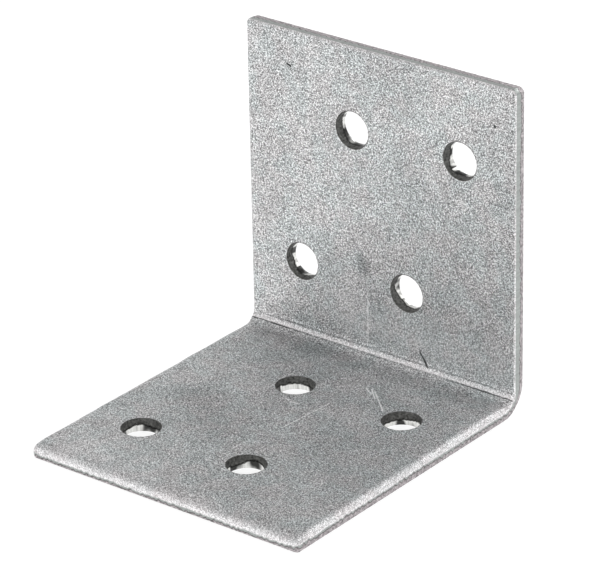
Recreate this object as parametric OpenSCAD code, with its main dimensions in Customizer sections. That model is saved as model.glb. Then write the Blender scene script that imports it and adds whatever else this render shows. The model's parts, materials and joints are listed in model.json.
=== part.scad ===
// Angle bracket: one strip of galvanised sheet steel, cut to length, punched
// with staggered screw holes and folded once to a right angle.
//
// X runs along the fold, the upright leg's back face lies on Y = 0 and the
// base leg's underside lies on Z = 0. The origin is the middle of the heel,
// where those two outer faces would meet without the fold's radius. The base
// leg reaches towards -Y and the upright leg towards +Z.

/* [Strip] */
// Width of the strip, along the fold
bracket_w = 40; // [30:1:60]
// Height of the upright leg, from the base leg's underside
leg_h = 42; // [34:1:70]
// Depth of the base leg, from the upright leg's back face
leg_d = 44; // [36:1:70]
// Thickness of the sheet
sheet_t = 1.8; // [1.2:0.1:3]
// Radius inside the fold
fold_r = 1.6; // [1:0.1:4]

/* [Corners] */
// Radius of the corner at the upright leg's left end, and of the one it was cut next to
crisp_r = 0.5; // [0.4:0.1:3]
// Radius of the corner at the upright leg's right end, and of the one it was cut next to
worn_r = 0.8; // [0.4:0.1:3]

/* [Screw holes] */
// Diameter of the punched part of a hole
hole_d = 4.5; // [3:0.1:6]
// Distance between the two holes of a row
pair_spacing = 16; // [10:1:20]
// How far a row's middle lies from the middle of the strip
row_shift = 4; // [0:0.5:6]
// Distance from a leg's free end to its outer row of holes
end_margin = 10.8; // [8:0.1:14]
// Distance between the two rows of a leg
row_pitch = 19.5; // [12:0.5:22]
// How much wider the torn part of a hole is at the inner face, on the radius
hole_flare = 0.15; // [0.05:0.01:0.3]
// Part of the sheet's thickness that the punch cut cleanly
hole_land = 0.5; // [0.3:0.05:0.7]

/* [Cut edges] */
// Radius of the rolled edge where the blade or the punch went in
roll_r = 0.3; // [0.1:0.05:0.4]
// How far the torn part of an outline edge leans in at the outer face
edge_lean = 0.08; // [0.02:0.01:0.2]
// Part of the sheet's thickness that is torn along the outline
edge_torn = 0.42; // [0.3:0.02:0.6]

/* [Hidden] */

$fn = 64;
// The solids overlap by this much where one continues another.
overlap = 0.01;

// Outer radius of the fold, and so the distance from the heel to each flat leg
fold_outer_r = fold_r + sheet_t;
flat_h = leg_h - fold_outer_r;
flat_d = leg_d - fold_outer_r;
half_w = bracket_w / 2;
hole_r = hole_d / 2;
corner_reach = max(crisp_r, worn_r);

// Section through a cut edge that ends at x = reach. The sheet lies from y = 0,
// its outer face, to y = sheet_t, its inner face. The tear leans in towards the
// outer face, and the edge is rolled over at the inner face.
module cut_edge(reach) {
    torn_t = edge_torn * sheet_t;
    polygon([
        [0, 0],
        [reach - edge_lean, 0],
        [reach, torn_t],
        [reach, sheet_t - roll_r],
        [reach - roll_r, sheet_t - roll_r],
        [reach - roll_r, sheet_t],
        [0, sheet_t],
    ]);
    translate([reach - roll_r, sheet_t - roll_r])
        circle(r = roll_r);
}

// Section across the whole strip, centred on x = 0
module strip_section() {
    cut_edge(half_w);
    mirror([1, 0])
        cut_edge(half_w);
}

// Corner of radius r, centred on the origin and standing on z = 0
module corner_post(r) {
    rotate_extrude()
        cut_edge(r);
}

// Free end of a leg between its two corner posts. It ends at y = 0.
module end_bar(left_r, right_r) {
    bar_w = bracket_w - left_r - right_r;
    translate([left_r - half_w, -corner_reach, 0])
        rotate([90, 0, 90])
            linear_extrude(height = bar_w)
                cut_edge(corner_reach);
}

// Side of a leg beside a corner that is tighter than the other. It ends at x = half_w.
module side_bar(corner_r) {
    translate([half_w - corner_reach, -corner_r, 0])
        rotate([90, 0, 0])
            linear_extrude(height = corner_reach - corner_r + overlap)
                cut_edge(corner_reach);
}

// Two rows of two holes each, the outer one moved by shift and the inner one
// by -shift. Its children are placed on each hole, measured from the free end.
module hole_rows(shift) {
    for (row = [0, 1]) {
        row_x = row == 0 ? shift : -shift;
        for (side = [-1, 1])
            translate([row_x + side * pair_spacing / 2, -end_margin - row * row_pitch, 0])
                children();
    }
}

// Hole punched from the outer face at z = 0: rolled entry, clean land, torn mouth
module punched_hole() {
    land_top = hole_land * sheet_t;
    rotate_extrude() {
        difference() {
            translate([0, -overlap])
                square([hole_r + roll_r, roll_r + overlap]);
            translate([hole_r + roll_r, roll_r])
                circle(r = roll_r);
        }
        translate([0, roll_r - overlap])
            square([hole_r, land_top - roll_r + overlap]);
        polygon([
            [0, land_top],
            [hole_r, land_top],
            [hole_r + hole_flare, sheet_t],
            [hole_r + hole_flare, sheet_t + 1],
            [0, sheet_t + 1],
        ]);
    }
}

// One leg, lying flat with its outer face on z = 0. It runs from the fold at
// y = 0 to its free end at y = reach.
module flat_leg(reach, left_r, right_r, shift) {
    difference() {
        union() {
            translate([0, reach - corner_reach, 0])
                rotate([90, 0, 0])
                    linear_extrude(height = reach - corner_reach)
                        strip_section();
            translate([0, reach, 0]) {
                end_bar(left_r, right_r);
                side_bar(right_r);
                mirror([1, 0, 0])
                    side_bar(left_r);
                translate([left_r - half_w, -left_r, 0])
                    corner_post(left_r);
                translate([half_w - right_r, -right_r, 0])
                    corner_post(right_r);
            }
        }
        translate([0, reach, 0])
            hole_rows(shift)
                punched_hole();
    }
}

// The fold: a quarter turn of the strip's section about the fold's own axis
module fold() {
    translate([0, -fold_outer_r, fold_outer_r])
        rotate([0, 90, 0])
            rotate_extrude(angle = 90)
                translate([fold_outer_r, 0])
                    rotate([0, 0, 90])
                        strip_section();
}

module bracket() {
    color([0.70, 0.71, 0.71]) {
        translate([0, 0, fold_outer_r])
            rotate([90, 0, 0])
                flat_leg(flat_h, crisp_r, worn_r, row_shift);
        translate([0, -fold_outer_r, 0])
            rotate([0, 0, 180])
                flat_leg(flat_d, crisp_r, worn_r, row_shift);
        fold();
    }
}

bracket();
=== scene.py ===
"""A folded angle bracket of galvanised sheet steel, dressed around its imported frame.

The bracket is one strip of sheet. Its skin is worked out flat, as a blank with
rolled and torn edges and eight punched holes, and then folded in one step.
Lengths are in millimetres until the mesh is made.
"""
import json
import logging
import math
from dataclasses import dataclass, field
from enum import Enum

import bpy
import numpy as np
from mathutils import Matrix, Vector


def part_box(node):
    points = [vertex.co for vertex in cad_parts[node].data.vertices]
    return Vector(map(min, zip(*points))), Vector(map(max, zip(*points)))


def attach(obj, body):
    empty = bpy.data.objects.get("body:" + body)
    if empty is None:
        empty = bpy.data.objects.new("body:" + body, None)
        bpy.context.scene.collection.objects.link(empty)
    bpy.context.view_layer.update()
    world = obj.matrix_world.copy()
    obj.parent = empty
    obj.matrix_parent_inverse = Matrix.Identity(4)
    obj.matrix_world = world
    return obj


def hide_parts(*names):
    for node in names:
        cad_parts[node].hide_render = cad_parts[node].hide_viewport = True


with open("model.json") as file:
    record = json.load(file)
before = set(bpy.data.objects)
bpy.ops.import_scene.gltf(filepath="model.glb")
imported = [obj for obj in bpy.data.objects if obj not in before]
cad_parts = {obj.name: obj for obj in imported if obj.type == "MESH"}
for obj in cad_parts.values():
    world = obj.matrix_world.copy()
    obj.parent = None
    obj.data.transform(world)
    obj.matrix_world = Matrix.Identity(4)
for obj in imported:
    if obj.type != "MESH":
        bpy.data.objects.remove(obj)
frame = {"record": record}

LOG = logging.getLogger("angle_bracket")
MM = 0.001
EDGE_MAP = "edge"
# Nearly all of a noise node's values lie between these.
NOISE_SPAN = (0.3, 0.7)
# What the skin carries at each point: distance round a cut edge; 0 on zinc and 1 on cut
# steel; distance into the torn part; 1 where zinc is rubbed and brightened, partly wear and
# partly painted highlight; 1 inside a hole; and 1 at the crease of the fold, darkened as painted shade.
MARK_NAMES = ("along", "cut", "tear", "rub", "bore", "crease")


# --------------------------------------------------------------------------
# Steps and waves
# --------------------------------------------------------------------------


def smooth_step(places: np.ndarray, low: float, high: float) -> np.ndarray:
    """Rises from 0 at low to 1 at high as a cubic that is level at both ends."""
    share = np.clip((places - low) / (high - low), 0, 1)
    return share * share * (3 - 2 * share)


@dataclass(frozen=True)
class Ripple:
    """Smooth noise round a closed loop: a sum of sine waves with random phases.

    Attributes:
        size: Spread of the noise.
        low: Fewest periods in a turn.
        high: Most periods in a turn.
        count: Number of waves.
    """

    size: float
    low: int
    high: int
    count: int

    def at(self, turns: np.ndarray, rng: np.random.Generator) -> np.ndarray:
        """Works out the noise.

        Args:
            turns: Place round the loop, from 0 to 1.
            rng: Source of the periods and phases.

        Returns:
            The noise at each place.
        """
        periods = rng.integers(self.low, self.high + 1, self.count)
        phases = rng.uniform(0, 2 * math.pi, self.count)
        waves = np.sin(2 * math.pi * turns[:, None] * periods + phases)
        return self.size * (waves.sum(axis=1) * math.sqrt(2 / self.count))


@dataclass(frozen=True)
class TornGrain:
    """Rough noise over a torn band that closes round a loop.

    It is a sum of sine waves that run at random slants over the band. It
    grows and falls across the band as part of a half sine.

    Attributes:
        size: Spread of the noise where it is strongest.
        periods: Most periods in a turn; the fewest are a fifth of that.
        count: Number of waves.
        reach: Share of the half sine that the band takes up.
        slant: Most radians a millimetre through the sheet.
    """

    size: float
    periods: int
    count: int
    reach: float
    slant: float = 6.0

    def at(self, turns: np.ndarray, depth: np.ndarray, share: np.ndarray,
           rng: np.random.Generator) -> np.ndarray:
        """Works out the noise.

        Args:
            turns: Place round the loop, from 0 to 1, one to a column.
            depth: Place through the sheet in millimetres, a row for each ring.
            share: Place across the band, from 0 to 1, a row for each ring.
            rng: Source of the waves.

        Returns:
            The noise at each place.
        """
        around = rng.integers(self.periods // 5, self.periods + 1, self.count)
        through = rng.uniform(-self.slant, self.slant, self.count)
        phases = rng.uniform(0, 2 * math.pi, self.count)
        waves = np.sin(2 * math.pi * turns[:, None] * around + through * depth[..., None] + phases)
        grain = waves.sum(axis=-1) * math.sqrt(2 / self.count)
        return self.size * np.sin(math.pi * share * self.reach) * grain


# --------------------------------------------------------------------------
# The strip and what its tools leave on it
# --------------------------------------------------------------------------


@dataclass(frozen=True)
class Strip:
    """The sheet strip and its one fold, in millimetres.

    A place on the strip is (x, s, n): x along the fold, s up the developed
    strip with 0 where the upright leg turns flat, and n through the sheet
    from 0 at the outer face to thickness at the inner face.

    Attributes:
        width: Width of the strip, along the fold.
        leg_h: Height of the upright leg, from the heel.
        leg_d: Depth of the base leg, from the heel.
        thickness: Thickness of the sheet.
        fold_r: Inner radius of the fold.
        crisp_r: Radius of the two crisp corners.
        worn_r: Radius of the two worn corners.
        fold_bulge: How far the fold's ends bulge at the inner face.
        bulge_spread: Half width of the bulge, as a share of the fold's length.
        bulge_reach: How far in from the sides the bulge reaches.
        nose_depth: Depth of the press nose's groove.
        nose_wall: Width of each of the groove's walls.
        nose_from: Where the groove begins below the upright leg, as a share of the fold's length.
        nose_to: Where it ends, as such a share.
        crease_shade_spread: Half width of the crease's painted shade, for each millimetre of the groove's
            wall.
        crease_shade_middle: Strength of that painted shade in the middle of the fold; it is 1 at the ends.
        crease_shade_from: Where along the fold the painted shade begins to grow, as a share of the width.
        crease_shade_to: Where it has its full strength, as such a share.
        rub_sheen_from: Where the groove's floor begins to be rubbed and brightened as painted highlight, in
            millimetres past its lower wall.
        rub_sheen_full: Where it is rubbed and brightened most, in such millimetres.
    """

    width: float
    leg_h: float
    leg_d: float
    thickness: float = 1.8
    fold_r: float = 1.6
    crisp_r: float = 0.5
    worn_r: float = 0.8
    fold_bulge: float = 0.14
    nose_depth: float = 0.13
    nose_wall: float = 0.12
    nose_from: float = 0.22
    nose_to: float = 0.55
    bulge_spread: float = 0.42
    bulge_reach: float = 3.0
    crease_shade_spread: float = 1.3
    crease_shade_middle: float = 0.35
    crease_shade_from: float = 0.2
    crease_shade_to: float = 0.42
    rub_sheen_from: float = -0.01
    rub_sheen_full: float = 0.1

    @property
    def fold_outer_r(self) -> float:
        """Radius of the outer face round the fold."""
        return self.fold_r + self.thickness

    @property
    def fold_length(self) -> float:
        """Length of the fold along the middle of the sheet."""
        return math.pi / 2 * (self.fold_r + self.thickness / 2)

    @property
    def s_top(self) -> float:
        """Place of the upright leg's free end along the strip."""
        return self.leg_h - self.fold_outer_r

    @property
    def s_front(self) -> float:
        """Place of the base leg's free end along the strip."""
        return -self.fold_length - (self.leg_d - self.fold_outer_r)

    @property
    def nose_stops(self) -> list[float]:
        """The two walls of the press nose's groove, as places along the strip."""
        low, high = -self.fold_length * self.nose_to, -self.fold_length * self.nose_from
        return [low, low + self.nose_wall, high - self.nose_wall, high]

    def pressed(self, flat: np.ndarray) -> np.ndarray:
        """Marks the strip as the press does when it folds it.

        The press nose leaves a shallow groove with steep walls along the
        inside of the fold: the depth rises and falls as two smooth steps
        along s, and fades through the sheet with the fourth power of n.

        The fold's two ends bulge at the inner face and draw in at the outer
        one. That push along x is a bell curve along s about the middle of the
        fold. It changes sign through the sheet and fades out a little way in
        from the sides, with the square of the distance.

        Args:
            flat: Points (x, s, n), one to a row.

        Returns:
            The pushed points.
        """
        x, s, n = flat.T
        bell = np.exp(-(((s + self.fold_length / 2) / (self.bulge_spread * self.fold_length)) ** 2))
        near_side = np.clip((np.abs(x) - self.width / 2 + self.bulge_reach) / self.bulge_reach, 0, 1)
        push = self.fold_bulge * bell * near_side**2 * (2 * n / self.thickness - 1)
        low, low_end, high_end, high = self.nose_stops
        rise, fall = smooth_step(s, low, low_end), smooth_step(s, high_end, high)
        groove = self.nose_depth * (rise - fall) * (n / self.thickness) ** 4
        return np.column_stack([x + np.sign(x) * push, s, n - groove])

    def folded(self, flat: np.ndarray) -> np.ndarray:
        """Folds flat points into the bracket.

        Above s = 0 the strip rises straight, below the fold it runs straight
        towards -Y, and between them it turns a quarter circle whose centre
        lies one outer radius in front of and above the heel.

        Args:
            flat: Points (x, s, n), one to a row.

        Returns:
            The same points as (X, Y, Z).
        """
        x, s, n = flat.T
        turn = np.clip(-s / self.fold_length, 0, 1) * math.pi / 2
        rise = np.maximum(s, 0)
        run = np.maximum(-s - self.fold_length, 0)
        reach = self.fold_outer_r - n
        y = -self.fold_outer_r + reach * np.cos(turn) - run
        z = self.fold_outer_r - reach * np.sin(turn) + rise
        return np.column_stack([x, y, z])


@dataclass(frozen=True)
class Hole:
    """A punched screw hole at (x, s) on the strip, with the seed of its own unevenness."""

    x: float
    s: float
    seed: int


@dataclass(frozen=True)
class Punch:
    """What the punch leaves in the sheet, in millimetres.

    Attributes:
        hole_r: Radius of the clean land.
        flare: How much wider the torn cone's mouth is.
        cone_step: How much wider the cone's foot is.
        land: Share of the thickness below the cone.
        entry_roll: Radius of the rolled entry.
        cell: Half the side of the square of face that is laid with a hole.
        rim: How far outside the mouth the two rings round it lie.
        land_wave: Slow waves of the height where the land begins.
        land_chatter: Quick waves of that height.
        mouth_wave: Waves of the mouth's radius.
        entry_wave: Waves of the rolled entry, as a share of its radius.
        grain: Roughness of the cone.
        entry_zinc: How cut the entry's first ring looks, before the zinc covers it.
    """

    hole_r: float
    flare: float = 0.15
    cone_step: float = 0.02
    land: float = 0.5
    entry_roll: float = 0.3
    cell: float = 4.0
    rim: tuple[float, float] = (0.16, 0.04)
    land_wave: Ripple = Ripple(0.13, 1, 4, 4)
    land_chatter: Ripple = Ripple(0.04, 8, 40, 12)
    mouth_wave: Ripple = Ripple(0.015, 2, 30, 14)
    entry_wave: Ripple = Ripple(0.06, 1, 5, 4)
    grain: TornGrain = TornGrain(0.03, 44, 26, reach=0.95)
    entry_zinc: float = 0.75


@dataclass(frozen=True)
class Edge:
    """What the blade leaves along one stretch of the outline.

    Attributes:
        roll: Height of the rolled edge, in millimetres.
        torn: Share of the thickness that is torn.
    """

    roll: float
    torn: float


@dataclass(frozen=True)
class Shear:
    """The cut edge all round the strip, in millimetres.

    Attributes:
        edges: The six stretches, anticlockwise from the base leg's free end:
            base end, base right, upright right, upright end, upright left
            and base left.
        roll_spread: Width of the rolled edge on the face, for each
            millimetre of its height.
        lean: How far the torn wall leans in at the outer face.
        step: How far the torn wall's first ring lies in from the clean one.
        rim: Width of the ring of outer face beside the torn wall.
        least_clean: Least height of the clean wall.
        lip_cut: How cut the foot of the rolled edge looks.
        torn_wave: Slow waves of the torn wall's height, for its share of the thickness.
        torn_chatter: Quick waves of that height.
        width_wave: Waves of the rolled edge's width, as a share of it.
        height_wave: Waves of its height, as a share of it.
        grain: Roughness of the torn wall.
        seed: Seed of all those waves.
        least_r: Corner radius that is kept where an inset would take it all.
        turn_over: Distance from a stretch's end where its own values begin.
        band: Width of the band of face that is laid with the edge.
        margin: Distance from the edge to the faces' grid.
    """

    edges: tuple[Edge, ...] = (
        Edge(1.4, 0.2), Edge(0.95, 0.42), Edge(0.2, 0.42), Edge(0.28, 0.5), Edge(0.3, 0.4), Edge(0.8, 0.3),
    )
    roll_spread: float = 1.2
    lean: float = 0.08
    step: float = 0.02
    rim: float = 0.06
    least_clean: float = 0.06
    lip_cut: float = 0.8
    torn_wave: Ripple = Ripple(0.12, 3, 30, 10)
    torn_chatter: Ripple = Ripple(0.08, 60, 420, 30)
    width_wave: Ripple = Ripple(0.06, 3, 60, 14)
    height_wave: Ripple = Ripple(0.05, 3, 60, 14)
    grain: TornGrain = TornGrain(0.026, 620, 40, reach=0.9)
    seed: int = 7
    least_r: float = 0.08
    turn_over: float = 1.5
    band: float = 3.0
    margin: float = 3.5

    def around(self, values: list[float], along: np.ndarray, ends: np.ndarray) -> np.ndarray:
        """One value for each stretch, passing evenly to the next one's where they meet.

        Args:
            values: The value on each stretch.
            along: Distance round the outline of each place.
            ends: Distance where each stretch begins, and last where the loop closes.

        Returns:
            The value at each place.
        """
        stops = np.column_stack([ends[:-1] + self.turn_over, ends[1:] - self.turn_over]).ravel()
        return np.interp(along, stops, np.repeat(values, 2), period=ends[-1])


@dataclass(frozen=True)
class Fineness:
    """How finely the skin is divided.

    Attributes:
        face_step: Distance between the faces' grid lines, in millimetres.
        fold_step: The same along the strip round the fold.
        outline_split: Points of the cut edge to each point of the grid's border.
        hole_split: Points of a hole's mouth to each point of its cell's border.
        collar: Rings of face round a hole, as the share of the way from its mouth to its cell.
        band: Rings of face beside the cut edge, as the share of the way to the band's border.
        cone: Shares of the cone's height where its first and last ring lie.
        cone_rings: Number of the cone's rings.
        land: Rings of the land, as shares of its height.
        entry_rings: Number of the rolled entry's rings.
        roll_rings: Number of the rolled edge's rings.
        clean: Rings of the clean wall, as shares of its height.
        torn_rings: Number of the torn wall's rings.
        weld: Distance under which two points are one, in millimetres.
    """

    face_step: float = 0.5
    fold_step: float = 0.25
    outline_split: int = 3
    hole_split: int = 2
    collar: tuple[float, ...] = (1, 0.82, 0.64, 0.47, 0.31, 0.17, 0.07)
    band: tuple[float, ...] = (0.12, 0.3, 0.6, 1.0)
    cone: tuple[float, float] = (0.04, 1.0)
    cone_rings: int = 9
    land: tuple[float, ...] = (0.06, 0.35, 0.7, 1.0)
    entry_rings: int = 5
    roll_rings: int = 7
    clean: tuple[float, ...] = (0.3, 0.65, 0.96)
    torn_rings: int = 7
    weld: float = 0.0001


# --------------------------------------------------------------------------
# Small surface tools
# --------------------------------------------------------------------------


@dataclass
class Patch:
    """A piece of skin, laid flat.

    Attributes:
        points: Flat places (x, s, n), one to a row.
        quads: Corner numbers, four to a row.
        tris: Corner numbers, three to a row.
        marks: What the tools left at each point, under the names in MARK_NAMES.
    """

    points: np.ndarray
    quads: np.ndarray
    tris: np.ndarray
    marks: dict[str, np.ndarray]

    @classmethod
    def laid(cls, points: np.ndarray, quads: np.ndarray | None = None, tris: np.ndarray | None = None,
             marks: dict[str, np.ndarray] | None = None) -> "Patch":
        """Makes a patch.

        Args:
            points: Flat places (x, s, n), one to a row.
            quads: Corner numbers, four to a row; none if they aren't given.
            tris: Corner numbers, three to a row; none if they aren't given.
            marks: What the tools left at each point; 0 everywhere where it isn't given.

        Returns:
            The patch.
        """
        bare = np.zeros(len(points))
        given = marks or {}
        quads = np.zeros((0, 4), int) if quads is None else quads
        tris = np.zeros((0, 3), int) if tris is None else tris
        return cls(points, quads, tris, {name: given.get(name, bare).ravel() for name in MARK_NAMES})

    def turned(self) -> "Patch":
        """The same patch with its faces turned over."""
        return Patch(self.points, self.quads[:, ::-1], self.tris[:, ::-1], self.marks)


def joined(patches: list[Patch]) -> Patch:
    """Puts patches together as one, without welding them.

    Args:
        patches: The patches.

    Returns:
        One patch, with their points and faces in the same order.
    """
    starts = np.cumsum([0] + [len(patch.points) for patch in patches[:-1]])
    points = np.concatenate([patch.points for patch in patches])
    quads = np.concatenate([patch.quads + start for patch, start in zip(patches, starts)])
    tris = np.concatenate([patch.tris + start for patch, start in zip(patches, starts)])
    marks = {name: np.concatenate([patch.marks[name] for patch in patches]) for name in MARK_NAMES}
    return Patch(points, quads, tris, marks)


def grid_quads(rows: int, columns: int) -> np.ndarray:
    """Corner numbers of a grid's quads, which face along (column step) x (row step).

    Args:
        rows: Number of point rows.
        columns: Number of points in a row.

    Returns:
        Four corner numbers for each quad.
    """
    numbers = np.arange(rows * columns).reshape(rows, columns)
    corners = [numbers[:-1, :-1], numbers[:-1, 1:], numbers[1:, 1:], numbers[1:, :-1]]
    return np.stack(corners, axis=-1).reshape(-1, 4)


def zip_tris(coarse: int, split: int, first_coarse: int, first_fine: int) -> np.ndarray:
    """Triangles from a coarse row of points to a row that is split times finer.

    Each coarse stretch gets split triangles on the fine side, fanned from its
    nearer end, and one that stands on the stretch itself. They face the way
    that grid_quads would, with the fine row after the coarse one.

    Args:
        coarse: Number of coarse stretches.
        split: Fine stretches to each coarse one.
        first_coarse: Number of the first coarse point.
        first_fine: Number of the first fine point.

    Returns:
        Three corner numbers for each triangle.
    """
    start = first_coarse + np.arange(coarse)
    fine = first_fine + np.arange(coarse) * split
    middle = split // 2
    tris = [np.stack([start, start + 1, fine + middle], axis=1)]
    for k in range(split):
        apex = start if k < middle else start + 1
        tris.append(np.stack([apex, fine + k + 1, fine + k], axis=1))
    return np.concatenate(tris)


def spaced(stops: list[float], steps: list[float]) -> np.ndarray:
    """Places between stops, evenly divided from each stop to the next.

    Args:
        stops: Places that are kept, in rising order.
        steps: Wanted distance between places in each stretch.

    Returns:
        All places in rising order, the stops among them.
    """
    runs = []
    for low, high, step in zip(stops[:-1], stops[1:], steps):
        count = max(1, round((high - low) / step))
        runs.append(np.linspace(low, high, count + 1)[:-1])
    return np.concatenate([*runs, [stops[-1]]])


def subdivided(places: np.ndarray, split: int) -> np.ndarray:
    """Divides each stretch between neighbouring places into split equal parts."""
    wanted = np.arange((len(places) - 1) * split + 1) / split
    return np.interp(wanted, np.arange(len(places)), places)


def rectangle_loop(x_places: np.ndarray, s_places: np.ndarray) -> list[np.ndarray]:
    """The four sides of a rectangle, anticlockwise from its lowest corner.

    Args:
        x_places: Places of the points across it.
        s_places: Places of the points along it.

    Returns:
        The points (x, s) of each side, with both of its ends.
    """
    x_low, x_high = np.full(len(s_places), x_places[0]), np.full(len(s_places), x_places[-1])
    s_low, s_high = np.full(len(x_places), s_places[0]), np.full(len(x_places), s_places[-1])
    return [
        np.column_stack([x_places, s_low]),
        np.column_stack([x_high, s_places]),
        np.column_stack([x_places[::-1], s_high]),
        np.column_stack([x_low, s_places[::-1]]),
    ]


def closed_loop(sides: list[np.ndarray]) -> np.ndarray:
    """Joins four sides end to end, dropping each end that the next side repeats."""
    return np.concatenate([side[:-1] for side in sides] + [sides[-1][-1:]])


# --------------------------------------------------------------------------
# The skin of the blank
# --------------------------------------------------------------------------


@dataclass
class Profile:
    """A wall's profile, carried round a loop, with a row for each ring.

    Attributes:
        inset: Distance across the faces: in from the outline, or out from a hole's middle.
        depth: Place through the sheet, from 0 at the outer face.
        marks: What the tools left, under the names in MARK_NAMES.
    """

    inset: np.ndarray
    depth: np.ndarray
    marks: dict[str, np.ndarray]


@dataclass
class Blank:
    """The flat skin: two faces, the outline's cut edge and the holes' walls."""

    strip: Strip
    holes: list[Hole]
    punch: Punch
    shear: Shear = field(default_factory=Shear)
    fineness: Fineness = field(default_factory=Fineness)

    def face_lines(self) -> tuple[np.ndarray, np.ndarray]:
        """Grid lines of the two faces.

        The lines pass along the sides of every hole's square cell, and they
        are closer together round the fold.

        Returns:
            The lines across the strip and the lines along it.
        """
        strip, cell, margin = self.strip, self.punch.cell, self.shear.margin
        x_end = strip.width / 2 - margin
        x_cells = {round(hole.x + side * cell, 4) for hole in self.holes for side in (-1, 1)}
        x_stops = sorted({-x_end, x_end} | {x for x in x_cells if abs(x) < x_end})
        s_cells = {round(hole.s + side * cell, 4) for hole in self.holes for side in (-1, 1)}
        s_ends = {strip.s_front + margin, -strip.fold_length, 0.0, strip.s_top - margin}
        s_stops = sorted(s_ends | s_cells | set(strip.nose_stops))
        step, fold_step = self.fineness.face_step, self.fineness.fold_step
        s_steps = [fold_step if -strip.fold_length <= low < 0 else step for low in s_stops[:-1]]
        return spaced(x_stops, [step] * (len(x_stops) - 1)), spaced(s_stops, s_steps)

    def faces(self) -> list[Patch]:
        """Both faces as grids of quads, left open at each hole's cell.

        Returns:
            The inner face and the outer face.
        """
        x_lines, s_lines = self.face_lines()
        x, s = (grid.ravel() for grid in np.meshgrid(x_lines, s_lines))
        quads = grid_quads(len(s_lines), len(x_lines))
        middle = np.column_stack([x, s])[quads].mean(axis=1)
        solid = np.ones(len(quads), dtype=bool)
        for hole in self.holes:
            solid &= np.abs(middle - (hole.x, hole.s)).max(axis=1) > self.punch.cell
        inner = Patch.laid(np.column_stack([x, s, np.full(len(x), self.strip.thickness)]), quads[solid])
        outer = Patch.laid(np.column_stack([x, s, np.zeros(len(x))]), quads[solid])
        return [inner, outer.turned()]

    def hole_wall(self, hole: Hole, turns: np.ndarray) -> Profile:
        """Profile of a hole's wall, carried round the hole.

        From the inner face it runs down the torn cone to the clean land and
        over the rolled entry, a quarter circle, to the outer face. The height
        where the land begins waves round the hole, and the cone is rough. The
        distance round the edge starts elsewhere for every hole, so that no
        two of them carry the same streaks.

        Args:
            hole: The hole, whose seed sets its waves.
            turns: Place round the hole, from 0 to 1.

        Returns:
            The profile; its inset is the radius.
        """
        punch, fineness, thickness = self.punch, self.fineness, self.strip.thickness
        rng, same = np.random.default_rng(hole.seed), np.ones(len(turns))
        land_top = thickness * punch.land + punch.land_wave.at(turns, rng)
        land_top += punch.land_chatter.at(turns, rng)
        mouth_r = punch.hole_r + punch.flare + punch.mouth_wave.at(turns, rng)
        roll = punch.entry_roll * (1 + punch.entry_wave.at(turns, rng))

        share = np.linspace(*fineness.cone, fineness.cone_rings)[:, None]
        cone_depth = thickness + (land_top - thickness) * share
        cone_r = mouth_r + (punch.hole_r + punch.cone_step - mouth_r) * share
        cone_r = cone_r + punch.grain.at(turns, cone_depth, share, rng)
        land_depth = land_top + (roll - land_top) * np.array(fineness.land)[:, None]
        land_r = np.full(land_depth.shape, punch.hole_r)
        turn = np.linspace(0, math.pi / 2, fineness.entry_rings + 1)[1:, None]

        rims = [mouth_r + rim for rim in punch.rim]
        radius = np.vstack([*rims, cone_r, land_r, punch.hole_r + roll * (1 - np.cos(turn))])
        flat = [thickness * same for _ in rims]
        depth = np.vstack([*flat, cone_depth, land_depth, roll * (1 - np.sin(turn))])
        # The rubbing brightens the zinc of the rolled entry: partly wear and partly painted highlight.
        cut, rub = np.ones(radius.shape), np.ones(radius.shape)
        cut[0], rub[0], rub[-1] = 0, 0, 0
        fading = fineness.entry_rings - 1
        cut[-fading:] = np.linspace(punch.entry_zinc, 0, fading)[:, None]
        bore = np.ones(radius.shape)
        along = (turns + 2 * hole.seed) * 2 * math.pi * punch.hole_r * bore
        marks = {"along": along, "cut": cut, "tear": depth - land_top, "rub": rub, "bore": bore}
        return Profile(radius, depth, marks)

    def punched(self, hole: Hole) -> list[Patch]:
        """The wall of one hole and the collars of face round it, out to its cell.

        Args:
            hole: The hole to lay.

        Returns:
            The wall, the inner face's collar and the outer face's collar.
        """
        side = round(2 * self.punch.cell / self.fineness.face_step)
        turns = np.linspace(0, 1, 4 * side * self.fineness.hole_split + 1)
        angle = 2 * math.pi * turns - 3 * math.pi / 4
        profile = self.hole_wall(hole, turns)
        x, s = hole.x + profile.inset * np.cos(angle), hole.s + profile.inset * np.sin(angle)
        rings = np.stack([x, s, profile.depth], axis=-1)
        wall = Patch.laid(rings.reshape(-1, 3), grid_quads(*x.shape), None, profile.marks)
        return [wall, self.collar(hole, rings[0]), self.collar(hole, rings[-1]).turned()]

    def collar(self, hole: Hole, mouth: np.ndarray) -> Patch:
        """One face between a hole's square cell and its mouth.

        Each ring lies a falling share of the way back from the mouth to the
        square. The mouth has hole_split points to each of the square's, so
        the last ring is zipped to it.

        Args:
            hole: The hole in the middle of the cell.
            mouth: The mouth's points, anticlockwise and closed.

        Returns:
            The collar, facing along +n.
        """
        split, cell = self.fineness.hole_split, self.punch.cell
        places = np.linspace(-cell, cell, (len(mouth) - 1) // (4 * split) + 1)
        square = closed_loop(rectangle_loop(hole.x + places, hole.s + places))
        square = np.column_stack([square, np.full(len(square), mouth[0, 2])])
        back = np.array(self.fineness.collar)[:, None, None]
        rings = mouth[::split] + back * (square - mouth[::split])
        count, last = len(square), (len(back) - 1) * len(square)
        tris = zip_tris(count - 1, split, last, len(back) * count)
        return Patch.laid(np.concatenate([rings.reshape(-1, 3), mouth]), grid_quads(len(back), count), tris)

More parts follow.
